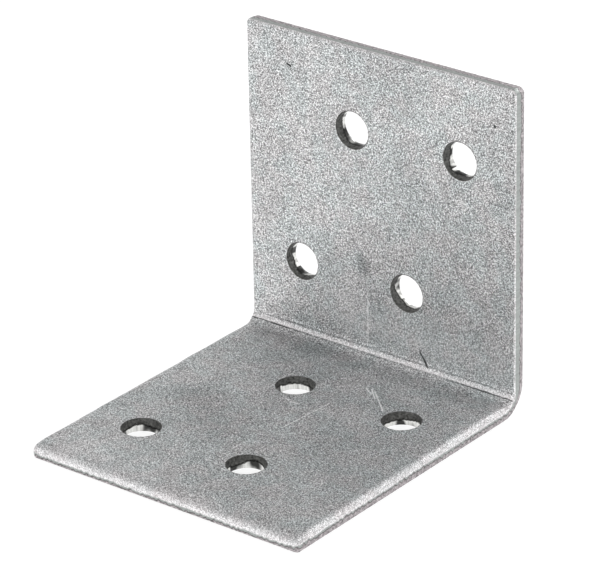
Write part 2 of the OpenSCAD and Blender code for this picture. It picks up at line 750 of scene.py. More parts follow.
    def outline(self, border: list[np.ndarray], inset: np.ndarray) -> np.ndarray:
        """Rings that follow the strip's outline at some inset from it.

        The outline is a rectangle with four round corners. An inset takes as
        much off every corner's radius, down to a small one that is kept. Each
        side runs from the middle of one corner's arc to the middle of the
        next, with its points spread as the border's are: a centre that stays
        on the first arc, slides along the straight and stays on the second,
        and a normal that turns an eighth of a circle at either end.

        Args:
            border: The sides of the band's inner border, whose spread it takes.
            inset: Distance in from the outline, with a row for each ring.

        Returns:
            Points (x, s), anticlockwise from the base leg's left corner, ring by ring.
        """
        strip, half, eighth = self.strip, self.strip.width / 2, math.pi / 4
        radii = [strip.worn_r, strip.crisp_r, strip.worn_r, strip.crisp_r]
        corners = np.array(
            [(-half, strip.s_front), (half, strip.s_front), (half, strip.s_top), (-half, strip.s_top)]
        )
        rings, first = [], 0
        for number, side in enumerate(border):
            start, end = corners[number], corners[(number + 1) % 4]
            forward = (end - start) / np.linalg.norm(end - start)
            outward = np.array([forward[1], -forward[0]])
            depth = inset[:, first:first + len(side)]
            r0 = np.maximum(radii[number] - depth, self.shear.least_r)
            r1 = np.maximum(radii[(number + 1) % 4] - depth, self.shear.least_r)
            straight = np.linalg.norm(end - start) - 2 * depth - r0 - r1
            share = np.linalg.norm(side - side[0], axis=1) / np.linalg.norm(side[-1] - side[0])
            run = -eighth * r0 + share * (straight + eighth * (r0 + r1))
            lean = np.clip(run / r0, -eighth, 0) + np.clip((run - straight) / r1, 0, eighth)
            radius = np.where(run < straight / 2, r0, r1)
            ahead = depth + r0 + np.clip(run, 0, straight) + radius * np.sin(lean)
            out = radius * np.cos(lean) - radius - depth
            ring = start + ahead[..., None] * forward + out[..., None] * outward
            rings.append(ring if number == 3 else ring[:, :-1])
            first += len(side) - 1
        return np.concatenate(rings, axis=1)

    def edge_wall(self, along: np.ndarray, ends: np.ndarray) -> Profile:
        """Profile of the cut edge, carried round the outline.

        From the inner face it runs over a rolled edge, a quarter of an
        ellipse, down a clean burnished wall, and along a torn wall that leans
        in to the outer face.

        Args:
            along: Distance round the outline of each point.
            ends: Distance where each stretch begins, and last where the loop closes.

        Returns:
            The profile.
        """
        shear, fineness, thickness = self.shear, self.fineness, self.strip.thickness
        rng, turns, same = np.random.default_rng(shear.seed), along / along[-1], np.ones(len(along))
        torn_share = shear.around([edge.torn for edge in shear.edges], along, ends)
        torn_top = torn_share * (thickness + shear.torn_wave.at(turns, rng))
        torn_top += shear.torn_chatter.at(turns, rng)
        roll_h = shear.around([edge.roll for edge in shear.edges], along, ends)
        roll_w = shear.roll_spread * roll_h * (1 + shear.width_wave.at(turns, rng))
        roll_h = roll_h * (1 + shear.height_wave.at(turns, rng))
        roll_h = np.minimum(roll_h, thickness - torn_top - shear.least_clean)

        turn = np.linspace(0, math.pi / 2, fineness.roll_rings)[:, None]
        clean_share = np.array(fineness.clean)[:, None]
        clean = thickness - roll_h + (torn_top - thickness + roll_h) * clean_share
        share = np.linspace(0, 1, fineness.torn_rings + 1)[1:, None]
        torn = torn_top * (1 - share)
        lean_in = shear.lean * share + shear.step + shear.grain.at(turns, torn, share, rng)

        upright = np.zeros(clean.shape)
        inset = np.vstack([roll_w * (1 - np.sin(turn)), upright, lean_in, lean_in[-1:] + shear.rim])
        depth = np.vstack([thickness - roll_h * (1 - np.cos(turn)), clean, torn, 0 * same])
        walls = np.ones(len(clean) + len(torn))
        cut = np.concatenate([np.zeros(len(turn) - 1), [shear.lip_cut], walls, [0.0]])
        # Rubbed zinc over the rolled edge, brightest towards the cut: partly wear and partly painted
        # highlight.
        rub = np.concatenate([np.sin(turn[:, 0]) ** 3, walls, [0.0]])
        marks = {"cut": cut[:, None] * same, "tear": torn_top - depth, "rub": rub[:, None] * same}
        return Profile(inset, depth, marks | {"along": np.broadcast_to(along, depth.shape)})

    def widened(self, profile: Profile) -> Profile:
        """Repeats a profile's first and last ring for the plain faces beside it.

        Args:
            profile: The profile, from the inner face to the outer one.

        Returns:
            The profile with as many more rings on either side as the band has.
        """
        count = len(self.fineness.band)
        rings = np.concatenate([np.zeros(count, int), np.arange(len(profile.depth)), np.full(count, -1)])
        marks = {name: values[rings] for name, values in profile.marks.items()}
        return Profile(profile.inset[rings], profile.depth[rings], marks)

    def sheared(self) -> list[Patch]:
        """The cut edge round the strip, a band of both faces beside it, and the seams to the grid.

        The edge's profile is carried round the outline. The faces beside it
        spread evenly from there to a plain rectangle.

        Returns:
            The band and the two seams.
        """
        shear, strip, split = self.shear, self.strip, self.fineness.outline_split
        x_lines, s_lines = self.face_lines()
        fine_x, fine_s = subdivided(x_lines, split), subdivided(s_lines, split)
        widen = shear.margin - shear.band
        middle, reach = (fine_s[0] + fine_s[-1]) / 2, (fine_s[-1] - fine_s[0]) / 2
        fine_x = fine_x * (1 + widen / fine_x[-1])
        fine_s = middle + (fine_s - middle) * (1 + widen / reach)
        sides = rectangle_loop(fine_x, fine_s)
        border = closed_loop(sides)

        outline = self.outline(sides, np.zeros((1, len(border))))[0]
        along = np.concatenate([[0], np.cumsum(np.linalg.norm(np.diff(outline, axis=0), axis=1))])
        corners = along[np.cumsum([0] + [len(side) - 1 for side in sides])]
        fold_right = corners[1] - strip.fold_length / 2 - strip.s_front
        fold_left = corners[3] + strip.s_top + strip.fold_length / 2
        ends = np.array([*corners[:2], fold_right, *corners[2:4], fold_left, corners[4]])

        profile = self.edge_wall(along, ends)
        rings = self.outline(sides, profile.inset)
        spread = np.array(self.fineness.band)[:, None, None]
        inner = (rings[0] + spread * (border - rings[0]))[::-1]
        outer = rings[-1] + spread * (border - rings[-1])
        profile = self.widened(profile)
        points = np.concatenate([np.concatenate([inner, rings, outer]), profile.depth[:, :, None]], axis=2)
        band = Patch.laid(points.reshape(-1, 3), grid_quads(*profile.depth.shape), None, profile.marks)
        seams = [self.seam(x_lines, s_lines, points[0]).turned(), self.seam(x_lines, s_lines, points[-1])]
        return [band.turned(), *seams]

    def seam(self, x_lines: np.ndarray, s_lines: np.ndarray, fine: np.ndarray) -> Patch:
        """Zips the faces' grid to the finer band round it.

        Args:
            x_lines: Grid lines across the strip.
            s_lines: Grid lines along it.
            fine: The band's border, as points (x, s, n).

        Returns:
            The seam, facing along +n.
        """
        coarse = closed_loop(rectangle_loop(x_lines, s_lines))
        coarse = np.column_stack([coarse, np.full(len(coarse), fine[0, 2])])
        tris = zip_tris(len(coarse) - 1, self.fineness.outline_split, 0, len(coarse))
        return Patch.laid(np.concatenate([coarse, fine]), None, tris)

    def crease(self, points: np.ndarray) -> tuple[np.ndarray, np.ndarray]:
        """The press nose's marks on the inner face.

        The crease is painted shade: a narrow bell curve of darkening about the
        groove's lower wall, strongest near both ends of the fold. The groove beside
        it is rubbed and brightened, partly wear and partly painted highlight, which
        fades towards its upper wall. Both fade out by the middle of the sheet.

        Args:
            points: Flat places (x, s, n).

        Returns:
            The crease's painted shade, and the rubbing with its painted highlight, at each point.
        """
        strip, (x, s, n) = self.strip, points.T
        inner = smooth_step(n, strip.thickness / 2, strip.thickness)
        low, low_end, high_end, _ = strip.nose_stops
        # The crease's darkening is painted shade along the fold.
        crease = np.exp(-(((s - (low + low_end) / 2) / (strip.crease_shade_spread * (low_end - low))) ** 2))
        towards_end = smooth_step(np.abs(x), strip.crease_shade_from * strip.width, strip.crease_shade_to * strip.width)
        crease *= strip.crease_shade_middle + (1 - strip.crease_shade_middle) * towards_end
        # The groove's rubbing brightens the fold's band: partly wear and partly painted highlight.
        begin, full = low_end + strip.rub_sheen_from, low_end + strip.rub_sheen_full
        rub = smooth_step(s, begin, full) * (1 - smooth_step(s, full, high_end))
        return inner * crease, inner * rub

    def skin(self) -> Patch:
        """Lays every patch of the blank and joins them.

        The patches with marks come before their bare neighbours, because a
        shared point takes its marks from the first patch that has it.

        Returns:
            The whole skin.
        """
        patches = self.sheared()
        for hole in self.holes:
            patches += self.punched(hole)
        skin = joined(patches + self.faces())
        crease, rub = self.crease(skin.points)
        skin.marks["crease"] = crease
        skin.marks["rub"] = np.maximum(skin.marks["rub"], rub)
        return skin


# --------------------------------------------------------------------------
# Finishes
# --------------------------------------------------------------------------


@dataclass(frozen=True)
class Finish:
    """Colour and roughness of one kind of metal surface."""

    tint: tuple[float, float, float]
    roughness: float


class Surface(Enum):
    """The surfaces that the bracket shows."""

    ZINC = Finish((0.546, 0.557, 0.558), 0.52)
    BURNISH = Finish((0.37, 0.39, 0.38), 0.3)
    TORN = Finish((0.44, 0.41, 0.42), 0.55)
    # Inside the holes: a lighter copy of the burnish, painted highlight, and a darker copy of the torn steel,
    # painted shade.
    BORE_BURNISH_HIGHLIGHTED = Finish((0.74, 0.74, 0.72), 0.1)
    BORE_TORN_SHADED = Finish((0.13, 0.13, 0.125), 0.45)


class Leg(Enum):
    """The bracket's two legs."""

    UPRIGHT = "upright"
    BASE = "base"


class Tone(Enum):
    """How much of the zinc's own brightness a mark takes away, or adds where it is above 0."""

    DARK = -0.96
    DULL = -0.42
    FAINT = -0.3
    LIGHT = 1.5
    GLINT = 0.75
    # The last four tones are painted shade and painted light, laid as broad strokes over the faces.
    PAINTED_SHADE = -0.17
    PAINTED_FAINT_SHADE = -0.1
    PAINTED_LIGHT = 0.25
    PAINTED_FAINT_LIGHT = 0.14


@dataclass(frozen=True)
class Mark:
    """A scratch, dash or smudge on an inner face, or a broad patch of painted shade or painted light there,
    as a stroke between two places.

    Attributes:
        leg: The leg it lies on.
        start: One end, as (x, distance from the heel) in millimetres.
        end: The other end.
        width: Its full width in millimetres.
        tone: What it does to the colour.
        softness: Share of the width over which it fades.
    """

    leg: Leg
    start: tuple[float, float]
    end: tuple[float, float]
    width: float
    tone: Tone
    softness: float = 0.5

    def ends(self, thickness: float) -> tuple[Vector, Vector]:
        """Places both ends on the leg's inner face.

        Args:
            thickness: Thickness of the sheet in millimetres.

        Returns:
            The two ends in millimetres.
        """
        (x0, d0), (x1, d1) = self.start, self.end
        if self.leg is Leg.UPRIGHT:
            return Vector((x0, -thickness, d0)), Vector((x1, -thickness, d1))
        return Vector((x0, -d0, thickness)), Vector((x1, -d1, thickness))


# Chips, stains and scratches first, and then five broad and faint strokes of painted shade and painted light.
MARKS = [
    Mark(Leg.UPRIGHT, (-13.8, 37.5), (-13.2, 37.35), 0.22, Tone.DARK),
    Mark(Leg.UPRIGHT, (17.0, 36.9), (17.02, 36.88), 0.34, Tone.DARK),
    Mark(Leg.UPRIGHT, (-2.6, 13.5), (-2.5, 13.9), 1.9, Tone.DULL, 0.9),
    Mark(Leg.UPRIGHT, (-14.9, 28.9), (-14.8, 28.9), 0.5, Tone.FAINT, 0.9),
    Mark(Leg.UPRIGHT, (16.4, 26.95), (18.8, 26.8), 0.26, Tone.FAINT, 0.8),
    Mark(Leg.UPRIGHT, (-1.9, 9.2), (-2.0, 3.1), 0.2, Tone.GLINT, 0.8),
    Mark(Leg.UPRIGHT, (5.95, 4.4), (6.55, 3.6), 0.24, Tone.DARK),
    Mark(Leg.UPRIGHT, (6.55, 3.6), (7.1, 2.7), 0.32, Tone.DARK),
    Mark(Leg.BASE, (1.6, 23.4), (2.3, 15.2), 0.13, Tone.LIGHT, 0.5),
    Mark(Leg.BASE, (-2.9, 17.1), (-2.2, 17.3), 0.2, Tone.LIGHT),
    Mark(Leg.BASE, (-1.7, 17.5), (-0.6, 17.4), 0.2, Tone.LIGHT),
    Mark(Leg.BASE, (3.4, 9.3), (4.9, 10.3), 0.17, Tone.LIGHT, 0.45),
    Mark(Leg.BASE, (4.1, 9.1), (6.0, 11.0), 0.17, Tone.LIGHT, 0.45),
    Mark(Leg.BASE, (4.8, 9.4), (8.7, 13.0), 0.17, Tone.LIGHT, 0.45),
    Mark(Leg.BASE, (2.4, 35.8), (3.5, 35.6), 0.26, Tone.GLINT),
    Mark(Leg.BASE, (0.1, 31.0), (0.5, 28.2), 0.18, Tone.GLINT, 0.8),
    Mark(Leg.BASE, (-12.1, 40.6), (-11.6, 39.9), 0.24, Tone.GLINT),
    Mark(Leg.BASE, (3.3, 42.9), (3.9, 42.6), 0.24, Tone.GLINT),
    # Painted shade on the base leg's left part and along the foot of the fold, painted light at the base
    # leg's front left, painted light low on the upright leg and painted shade at its top.
    Mark(Leg.BASE, (-12.5, 22.5), (-4.0, 27.5), 7.0, Tone.PAINTED_SHADE, 1.0),
    Mark(Leg.BASE, (-16.0, 4.6), (17.0, 4.6), 2.6, Tone.PAINTED_SHADE, 1.0),
    Mark(Leg.BASE, (-15.0, 41.5), (-6.0, 42.0), 6.0, Tone.PAINTED_FAINT_LIGHT, 1.0),
    Mark(Leg.UPRIGHT, (-4.0, 5.6), (17.0, 5.6), 5.5, Tone.PAINTED_LIGHT, 1.0),
    Mark(Leg.UPRIGHT, (-3.0, 38.0), (3.0, 38.0), 6.5, Tone.PAINTED_FAINT_SHADE, 1.0),
]


@dataclass(frozen=True)
class Layer:
    """One layer of noise in a metal's brightness.

    Attributes:
        per_mm: Cells of the noise in a millimetre.
        spread: How far the brightness spreads about 1.
        detail: Number of finer layers in it.
        rough: Strength of each finer layer, beside the one before.
    """

    per_mm: float
    spread: float
    detail: float = 2.0
    rough: float = 0.5


@dataclass(frozen=True)
class Ramp:
    """A smooth step between two values.

    Attributes:
        low: Where the step begins.
        high: Where it ends.
        to_low: Value below it.
        to_high: Value above it.
    """

    low: float
    high: float
    to_low: float = 0.0
    to_high: float = 1.0


@dataclass(frozen=True)
class Blotches:
    """Noise that a ramp turns into blotches.

    Attributes:
        per_mm: Cells of the noise in a millimetre.
        ramp: What turns it into blotches.
        detail: Number of finer layers in it.
    """

    per_mm: float
    ramp: Ramp
    detail: float = 2.0


@dataclass
class Bench:
    """Lays shader nodes for one material."""

    tree: bpy.types.NodeTree

    def node(self, kind: str, **settings: object) -> bpy.types.Node:
        """Adds a node.

        Args:
            kind: The node's type.
            **settings: Its properties.

        Returns:
            The node.
        """
        node = self.tree.nodes.new(kind)
        for name, value in settings.items():
            setattr(node, name, value)
        return node

    def feed(self, socket: bpy.types.NodeSocket, value: object) -> None:
        """Links a socket to an output, or sets it to a value.

        Args:
            socket: The socket.
            value: The output or the value.
        """
        if isinstance(value, bpy.types.NodeSocket):
            self.tree.links.new(value, socket)
        else:
            socket.default_value = value

    def math(self, operation: str, *values: object, clamp: bool = False) -> bpy.types.NodeSocket:
        """One step of arithmetic on numbers.

        Args:
            operation: The kind of step.
            *values: What goes into it, as outputs or numbers.
            clamp: Whether the result is held between 0 and 1.

        Returns:
            The result.
        """
        node = self.node("ShaderNodeMath", operation=operation, use_clamp=clamp)
        for socket, value in zip(node.inputs, values):
            self.feed(socket, value)
        return node.outputs[0]

    def vector(self, operation: str, first: object, second: object) -> bpy.types.NodeSocket:
        """One step of arithmetic on vectors.

        Args:
            operation: The kind of step.
            first: The first vector.
            second: The second one, or the number that SCALE takes.

        Returns:
            The result, which is a number for DOT_PRODUCT.
        """
        node = self.node("ShaderNodeVectorMath", operation=operation)
        self.feed(node.inputs[0], first)
        self.feed(node.inputs["Scale"] if operation == "SCALE" else node.inputs[1], second)
        return node.outputs["Value"] if operation == "DOT_PRODUCT" else node.outputs["Vector"]

    def length(self, vector: object) -> bpy.types.NodeSocket:
        """Works out the length of a vector.

        Args:
            vector: The vector.

        Returns:
            Its length.
        """
        node = self.node("ShaderNodeVectorMath", operation="LENGTH")
        self.feed(node.inputs[0], vector)
        return node.outputs["Value"]

    def band(self, value: object, low: float, high: float, to_low: object = 0.0,
             to_high: object = 1.0, smooth: bool = True) -> bpy.types.NodeSocket:
        """Maps one stretch of values to another, held at both ends.

        Args:
            value: What is mapped.
            low: Where the stretch begins.
            high: Where it ends.
            to_low: Result at low.
            to_high: Result at high.
            smooth: Whether it passes as a smooth step, not as a straight line.

        Returns:
            The result.
        """
        node = self.node("ShaderNodeMapRange", interpolation_type="SMOOTHSTEP" if smooth else "LINEAR")
        for socket, number in zip(node.inputs, (value, low, high, to_low, to_high)):
            self.feed(socket, number)
        return node.outputs[0]

    def ramp(self, value: object, ramp: Ramp) -> bpy.types.NodeSocket:
        """Takes a value over a ramp."""
        return self.band(value, ramp.low, ramp.high, ramp.to_low, ramp.to_high)

    def blend(self, share: object, first: object, second: object) -> bpy.types.NodeSocket:
        """Mixes two colours.

        Args:
            share: Share of the second one.
            first: The first colour.
            second: The second colour.

        Returns:
            The colour.
        """
        node = self.node("ShaderNodeMix", data_type="RGBA")
        for number, value in ((0, share), (6, first), (7, second)):
            self.feed(node.inputs[number], value)
        return node.outputs[2]

    def mixed(self, share: object, first: object, second: object) -> bpy.types.NodeSocket:
        """Mixes two numbers.

        Args:
            share: Share of the second one.
            first: The first number.
            second: The second number.

        Returns:
            The number.
        """
        node = self.node("ShaderNodeMix", data_type="FLOAT")
        for number, value in ((0, share), (2, first), (3, second)):
            self.feed(node.inputs[number], value)
        return node.outputs[0]

    def noise(self, place: object, per_mm: float, detail: float = 2.0,
              rough: float = 0.5) -> bpy.types.NodeSocket:
        """Noise from 0 to 1.

        Args:
            place: Where it is taken, in millimetres.
            per_mm: Cells of the noise in a millimetre.
            detail: Number of finer layers in it.
            rough: Strength of each finer layer, beside the one before.

        Returns:
            The noise.
        """
        node = self.node("ShaderNodeTexNoise", noise_dimensions="3D", normalize=True)
        self.feed(node.inputs["Vector"], place)
        node.inputs["Scale"].default_value = per_mm
        node.inputs["Detail"].default_value = detail
        node.inputs["Roughness"].default_value = rough
        return node.outputs["Factor" if "Factor" in node.outputs else "Fac"]

    def layer(self, place: object, layer: Layer) -> bpy.types.NodeSocket:
        """A layer's brightness.

        Args:
            place: Where it is taken, in millimetres.
            layer: The layer.

        Returns:
            A factor about 1.
        """
        noise = self.noise(place, layer.per_mm, layer.detail, layer.rough)
        low, high = 1 - layer.spread / 2, 1 + layer.spread / 2
        return self.band(noise, *NOISE_SPAN, low, high, smooth=False)

    def blotches(self, place: object, blotches: Blotches) -> bpy.types.NodeSocket:
        """The value of some blotches at a place."""
        return self.ramp(self.noise(place, blotches.per_mm, blotches.detail), blotches.ramp)

    def attribute(self, name: str) -> bpy.types.NodeSocket:
        """A number that the mesh carries at its points."""
        return self.node("ShaderNodeAttribute", attribute_name=name).outputs["Fac"]

    def stroke(self, place: object, mark: Mark, thickness: float) -> bpy.types.NodeSocket:
        """1 inside a mark's stroke and 0 outside it.

        The distance is taken to the nearest place on the line between the
        mark's ends, and then faded over the stroke's edge.

        Args:
            place: Object coordinates in millimetres.
            mark: The mark.
            thickness: Thickness of the sheet in millimetres.

        Returns:
            The stroke's mask.
        """
        start, end = mark.ends(thickness)
        line = end - start
        from_start = self.vector("SUBTRACT", place, start)
        share = self.vector("DOT_PRODUCT", from_start, line / line.length_squared)
        held = self.math("MULTIPLY", share, 1.0, clamp=True)
        away = self.length(self.vector("SUBTRACT", from_start, self.vector("SCALE", line, held)))
        half = mark.width / 2
        return self.band(away, half * (1 - mark.softness), half * (1 + mark.softness), 1.0, 0.0)


@dataclass(frozen=True)
class GalvanisedSteel:
    """Zinc-coated sheet whose cut edges show bright and torn steel.

    Attributes:
        name: Name of the material.
        grain: The zinc's grain.
        speck: The finer specks in it.
        cloud: Its broad clouds.
        mottle: Its mottling.
        hue: Where the zinc is of the cool tint, and where of the warm one.
        cool: Factors of red, green and blue for the cool tint.
        warm: The same for the warm tint.
        rubbed_tint: The same where the zinc is rubbed.
        rubbed_sheen: How much brighter the zinc is where it is rubbed: partly worn zinc and partly painted
            highlight.
        smoothed: Share of the grain that is lost where it is rubbed.
        smoothing: Power of the rubbing that the smoothing follows.
        broken: How light scratches and strokes of painted light are broken up.
        crease_shading: How the crease's painted shade darkens it.
        ragged: How the crease's painted shade is broken up.
        drawn: Fine lines along the burnish.
        drawn_scale: Cells of those lines in a millimetre, round the edge and through the sheet.
        streak: Dark reflections in the bores' burnish.
        streak_scale: Cells of those reflections in a millimetre, likewise.
        broken_steel: Grain of the torn metal.
        torn_from: Where the torn metal begins, by the distance into it.
        cut_from: Where the zinc gives way to cut steel.
        lip_in: Where the dark lip begins, by the distance into the torn metal.
        lip_out: Where it ends.
        lip: Share of the brightness that the lip takes.
        dulled: How far the zinc's roughness spreads to either side.
        relief: Height of the grain, in millimetres.
        relief_detail: Number of finer layers in the relief.
        relief_rough: Strength of each finer layer, beside the one before.
    """

    name: str = "galvanised_steel"
    grain: Layer = Layer(4.4, 1.0, 1.5, 0.6)
    speck: Layer = Layer(8.5, 1.4, 0.0)
    cloud: Layer = Layer(0.16, 0.22, 3.0, 0.6)
    mottle: Layer = Layer(0.55, 0.14, 2.0, 0.6)
    hue: Blotches = Blotches(0.35, Ramp(0.35, 0.65))
    cool: tuple[float, float, float] = (0.978, 1.0, 1.006)
    warm: tuple[float, float, float] = (1.028, 0.993, 1.0)
    rubbed_tint: tuple[float, float, float] = (1.07, 0.99, 1.0)
    rubbed_sheen: float = 0.5
    smoothed: float = 0.52
    smoothing: float = 0.4
    broken: Blotches = Blotches(2.4, Ramp(0.36, 0.5, 0.55, 1.0), 1.0)
    crease_shading: Ramp = Ramp(0.25, 0.8)
    ragged: Blotches = Blotches(0.9, Ramp(0.4, 0.6, 0.5, 0.92))
    drawn: Layer = Layer(1.0, 0.3)
    drawn_scale: tuple[float, float, float] = (4.2, 0.35, 0.0)
    streak: Blotches = Blotches(1.0, Ramp(0.42, 0.54, 0.06, 1.0), 1.0)
    streak_scale: tuple[float, float, float] = (0.55, 0.2, 0.0)
    broken_steel: Layer = Layer(3.6, 1.1)
    torn_from: Ramp = Ramp(-0.02, 0.03)
    cut_from: Ramp = Ramp(0.3, 0.7)
    lip_in: Ramp = Ramp(-0.05, 0.02)
    lip_out: Ramp = Ramp(0.08, 0.22, 1.0, 0.0)
    lip: float = 0.6
    dulled: float = 0.05
    relief: float = 0.006
    relief_detail: float = 2.5
    relief_rough: float = 0.6

    def zinc_tone(self, bench: Bench, place: object) -> bpy.types.NodeSocket:
        """The zinc's brightness: fine grain and specks over mottling and broad clouds.

        Args:
            bench: Where the nodes are laid.
            place: Object coordinates in millimetres.

        Returns:
            A factor about 1 that the zinc's colour is multiplied by.
        """
        layers = (self.grain, self.speck, self.cloud, self.mottle)
        grain, speck, cloud, mottle = (bench.layer(place, layer) for layer in layers)
        fine, broad = bench.math("MULTIPLY", grain, speck), bench.math("MULTIPLY", cloud, mottle)
        return bench.math("MULTIPLY", fine, broad)

    def marked(self, bench: Bench, tone: object, place: object, thickness: float) -> bpy.types.NodeSocket:
        """Adds every mark to the zinc's brightness.

        Dark marks take their share of it, and light ones add to it in
        broken strokes. Some of the marks are broad strokes of painted shade and painted light.

        Args:
            bench: Where the nodes are laid.
            tone: The brightness so far.
            place: Object coordinates in millimetres.
            thickness: Thickness of the sheet in millimetres.

        Returns:
            The brightness with the marks in it.
        """
        broken = bench.blotches(place, self.broken)
        for mark in MARKS:
            mask = bench.stroke(place, mark, thickness)
            if mark.tone.value < 0:
                tone = bench.math("MULTIPLY", tone, bench.math("MULTIPLY_ADD", mask, mark.tone.value, 1.0))
            else:
                mask = bench.math("MULTIPLY", mask, broken)
                tone = bench.math("MULTIPLY_ADD", mask, mark.tone.value, tone)
        return tone

    def zinc_colour(self, bench: Bench, place: object, thickness: float) -> bpy.types.NodeSocket:
        """The zinc skin's colour.

        It is the marked tone over two close tints. Where the zinc is rubbed
        it is smoother, warmer and brighter, the brightening partly wear and partly
        painted highlight, and along the crease it is darkened with painted shade.

        Args:
            bench: Where the nodes are laid.
            place: Object coordinates in millimetres.
            thickness: Thickness of the sheet in millimetres.

        Returns:
            The colour.
        """
        zinc, rub = Surface.ZINC.value.tint, bench.attribute("rub")
        tints = (self.cool, self.warm, self.rubbed_tint)
        cool, warm, rubbed_sheen = ((*(a * b for a, b in zip(zinc, tint)), 1) for tint in tints)
        smoothed = bench.math("MULTIPLY", bench.math("POWER", rub, self.smoothing), self.smoothed)
        tint = bench.blend(smoothed, bench.blend(bench.blotches(place, self.hue), cool, warm), rubbed_sheen)

        marked = self.marked(bench, self.zinc_tone(bench, place), place, thickness)
        tone = bench.mixed(smoothed, marked, 1.0)
        # Painted shade: the crease of the fold is darkened here.
        crease = bench.ramp(bench.attribute("crease"), self.crease_shading)
        crease = bench.math("MULTIPLY", crease, bench.blotches(place, self.ragged))
        tone = bench.math("MULTIPLY", tone, bench.math("MULTIPLY_ADD", crease, -1.0, 1.0))
        # Rubbed zinc is brightened here: partly wear and partly painted highlight.
        tone = bench.math("MULTIPLY", tone, bench.math("MULTIPLY_ADD", rub, self.rubbed_sheen, 1.0))
        return bench.vector("SCALE", tint, tone)

    def cut_colour(self, bench: Bench, place: object, is_torn: object, bore: object) -> bpy.types.NodeSocket:
        """The cut steel's colour: faintly drawn burnish, a dark lip, then the torn metal.

        Args:
            bench: Where the nodes are laid.
            place: Object coordinates in millimetres.
            is_torn: 0 on the burnish and 1 on the torn metal.
            bore: 1 inside a hole.

        Returns:
            The colour.
        """
        colours = {surface: (*surface.value.tint, 1) for surface in Surface}
        edge_map = bench.node("ShaderNodeUVMap", uv_map=EDGE_MAP).outputs["UV"]
        drawn = bench.layer(bench.vector("MULTIPLY", edge_map, self.drawn_scale), self.drawn)
        streaks = bench.blotches(bench.vector("MULTIPLY", edge_map, self.streak_scale), self.streak)
        # Inside a hole the burnish is a lighter copy, painted highlight, and the torn steel a darker copy,
        # painted shade.
        shine = bench.blend(bore, colours[Surface.BURNISH], colours[Surface.BORE_BURNISH_HIGHLIGHTED])
        shine = bench.vector("SCALE", shine, bench.math("MULTIPLY", drawn, bench.mixed(bore, 1.0, streaks)))
        broken = bench.blend(bore, colours[Surface.TORN], colours[Surface.BORE_TORN_SHADED])
        broken = bench.vector("SCALE", broken, bench.layer(place, self.broken_steel))

        tear = bench.attribute("tear")
        lip = bench.math("MULTIPLY", bench.ramp(tear, self.lip_in), bench.ramp(tear, self.lip_out))
        shade = bench.math("MULTIPLY_ADD", lip, -self.lip, 1.0)
        return bench.vector("SCALE", bench.blend(is_torn, shine, broken), shade)

    def roughness(self, bench: Bench, place: object, is_torn: object, bore: object,
                  is_cut: object) -> bpy.types.NodeSocket:
        """The roughness: uneven on the zinc, and even on each kind of cut steel.

        Args:
            bench: Where the nodes are laid.
            place: Object coordinates in millimetres.
            is_torn: 0 on the burnish and 1 on the torn metal.
            bore: 1 inside a hole.
            is_cut: 0 on the zinc and 1 on the cut steel.

        Returns:
            The roughness.
        """
        rough = {surface: surface.value.roughness for surface in Surface}
        noise = bench.noise(place, self.grain.per_mm, self.grain.detail)
        most, least = rough[Surface.ZINC] + self.dulled, rough[Surface.ZINC] - self.dulled
        zinc = bench.band(noise, *NOISE_SPAN, most, least)
        shine = bench.mixed(bore, rough[Surface.BURNISH], rough[Surface.BORE_BURNISH_HIGHLIGHTED])
        steel = bench.mixed(is_torn, shine, rough[Surface.TORN])
        return bench.mixed(is_cut, zinc, steel)

    def bump(self, bench: Bench, place: object) -> bpy.types.NodeSocket:
        """The grain's low relief.

        Args:
            bench: Where the nodes are laid.
            place: Object coordinates in millimetres.

        Returns:
            The surface's direction.
        """
        grain = bench.noise(place, self.grain.per_mm, self.relief_detail, self.relief_rough)
        node = bench.node("ShaderNodeBump")
        bench.feed(node.inputs["Height"], bench.math("MULTIPLY", grain, self.relief * MM))
        node.inputs["Strength"].default_value = 1.0
        node.inputs["Distance"].default_value = 1.0
        return node.outputs["Normal"]

    def material(self, thickness: float) -> bpy.types.Material:
        """Builds the material.

        Args:
            thickness: Thickness of the sheet in millimetres.

        Returns:
            The finished material.
        """
        material = bpy.data.materials.new(self.name)
        material.use_nodes = True
        shader = material.node_tree.nodes["Principled BSDF"]
        bench = Bench(material.node_tree)
        place = bench.vector("SCALE", bench.node("ShaderNodeTexCoord").outputs["Object"], 1 / MM)
        bore = bench.attribute("bore")
        is_torn = bench.ramp(bench.attribute("tear"), self.torn_from)
        is_cut = bench.ramp(bench.attribute("cut"), self.cut_from)

        zinc = self.zinc_colour(bench, place, thickness)
        steel = self.cut_colour(bench, place, is_torn, bore)
        bench.feed(shader.inputs["Base Color"], bench.blend(is_cut, zinc, steel))
        bench.feed(shader.inputs["Roughness"], self.roughness(bench, place, is_torn, bore, is_cut))
        bench.feed(shader.inputs["Normal"], self.bump(bench, place))
        shader.inputs["Metallic"].default_value = 1.0
        return material


# --------------------------------------------------------------------------
# The bracket
# --------------------------------------------------------------------------


